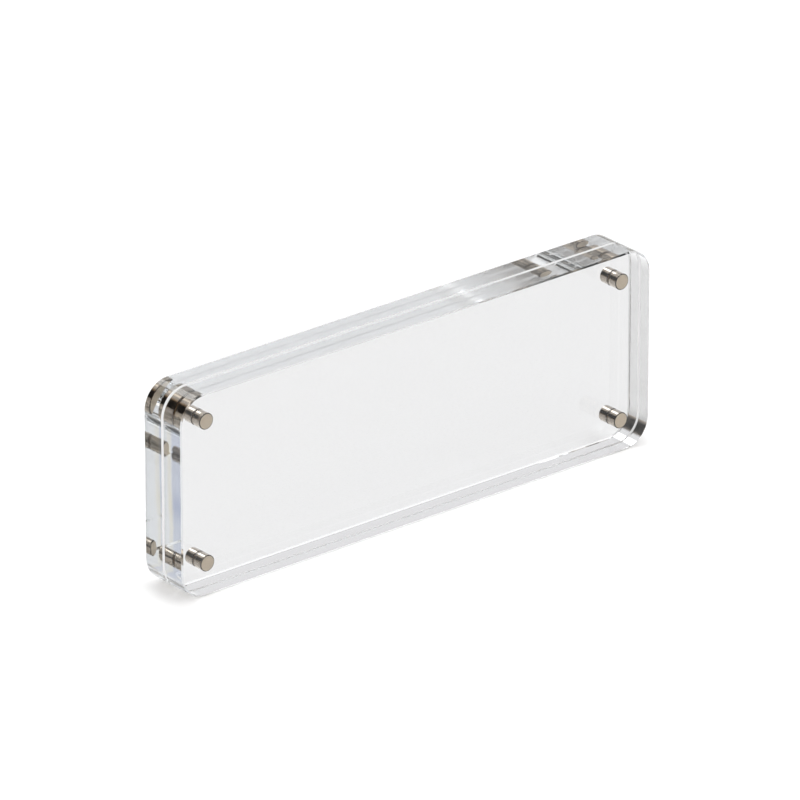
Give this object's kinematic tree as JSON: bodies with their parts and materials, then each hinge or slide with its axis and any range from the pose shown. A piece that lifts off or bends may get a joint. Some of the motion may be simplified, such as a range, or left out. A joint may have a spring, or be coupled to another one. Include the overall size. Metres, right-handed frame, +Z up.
{
  "type": "magnetic acrylic photo frame",
  "caption": "Free-standing photo frame of two thick clear panels with rounded corners, held face to face on a picture by magnets in blind bores.",
  "frame": {"origin": "on the surface that the frame stands on, under the middle of the closed frame", "axes": "+X along the length, to the right seen from the front; -Y out of the front face; +Z up"},
  "size_m": [0.21, 0.0202, 0.075],
  "materials": {
    "clear_acrylic": "clear cast acrylic sheet, polished faces, edges and bevels",
    "nickel_plate": "bright nickel plate on a sintered rod magnet"
  },
  "bodies": {
    "rear_half": {"rear_panel": "clear_acrylic", "rear_magnet_top_left": "nickel_plate", "rear_magnet_top_right": "nickel_plate", "rear_magnet_bottom_left": "nickel_plate", "rear_magnet_bottom_right": "nickel_plate"},
    "front_half": {"front_panel": "clear_acrylic", "front_magnet_top_left": "nickel_plate", "front_magnet_top_right": "nickel_plate", "front_magnet_bottom_left": "nickel_plate", "front_magnet_bottom_right": "nickel_plate"}
  },
  "joints": [
    {"name": "front_panel_pull_off", "type": "slide", "parent": "rear_half", "child": "front_half", "axis": [0, -1, 0], "range_m": [0, 0.06]}
  ]
}
